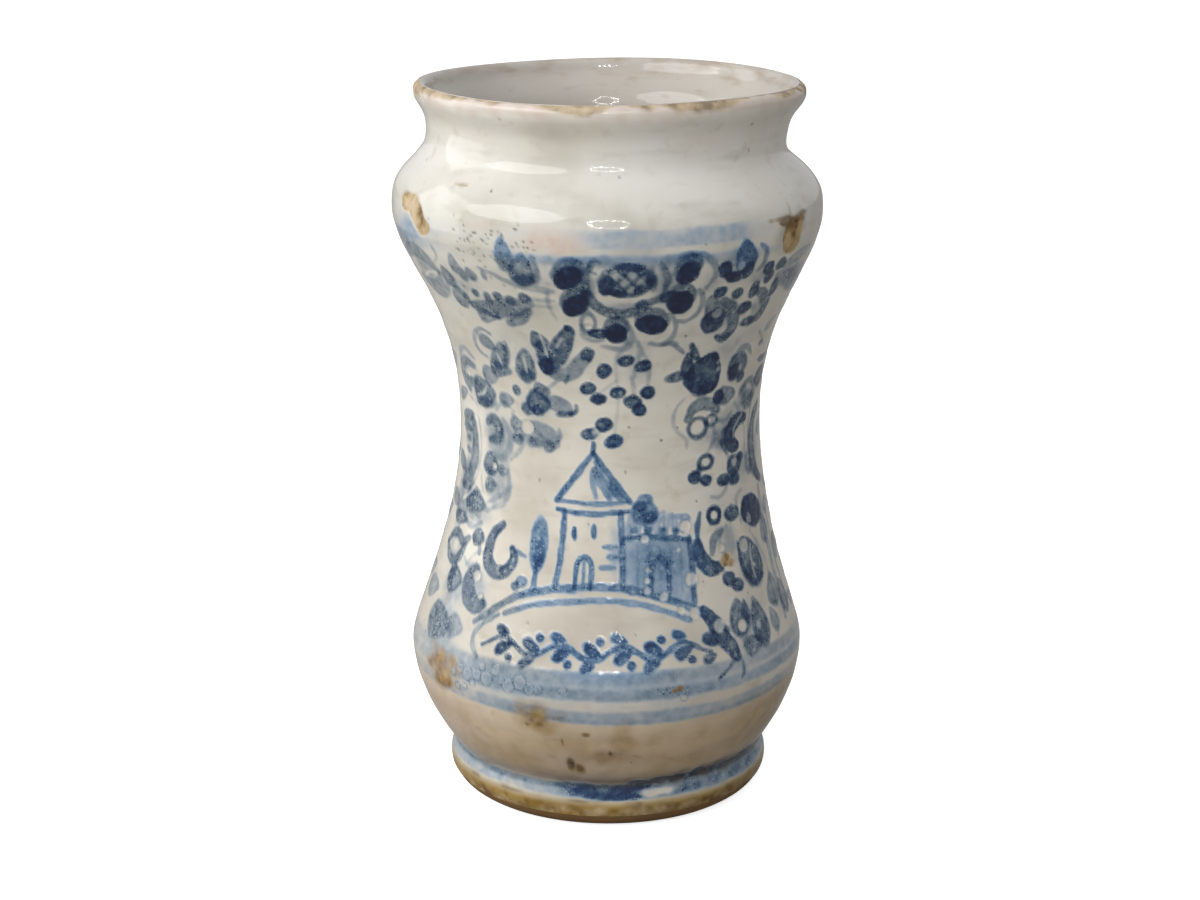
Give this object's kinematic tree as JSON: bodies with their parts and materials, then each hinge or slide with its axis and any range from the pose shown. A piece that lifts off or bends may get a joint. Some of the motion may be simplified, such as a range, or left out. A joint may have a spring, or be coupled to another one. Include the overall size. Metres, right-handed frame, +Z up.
{
  "type": "albarello",
  "caption": "Waisted earthenware drug jar with a flared lip, a rounded shoulder and belly, and a turned foot, glazed white inside and out and banded in cobalt blue.",
  "frame": {"origin": "centre of the foot's standing plane", "axes": "+Z up along the jar's axis, towards the mouth; -Y faces the viewer and holds the painted panel"},
  "size_m": [0.1304, 0.1304, 0.22],
  "materials": {
    "earthenware": "bare fired buff-brown clay, matt and slightly gritty",
    "tin_glaze": "glossy opaque ivory-white tin glaze, slightly uneven",
    "cobalt_wash": "thin watery cobalt wash sunk in the glaze, glossy",
    "cobalt_dark": "thick cobalt blue sunk in the glaze, glossy"
  },
  "bodies": {
    "root": {"clay_body": "earthenware", "outer_glaze": "tin_glaze", "inner_glaze": "tin_glaze", "shoulder_bands": "cobalt_wash", "belly_bands": "cobalt_wash", "foot_band": "cobalt_dark"}
  },
  "joints": []
}
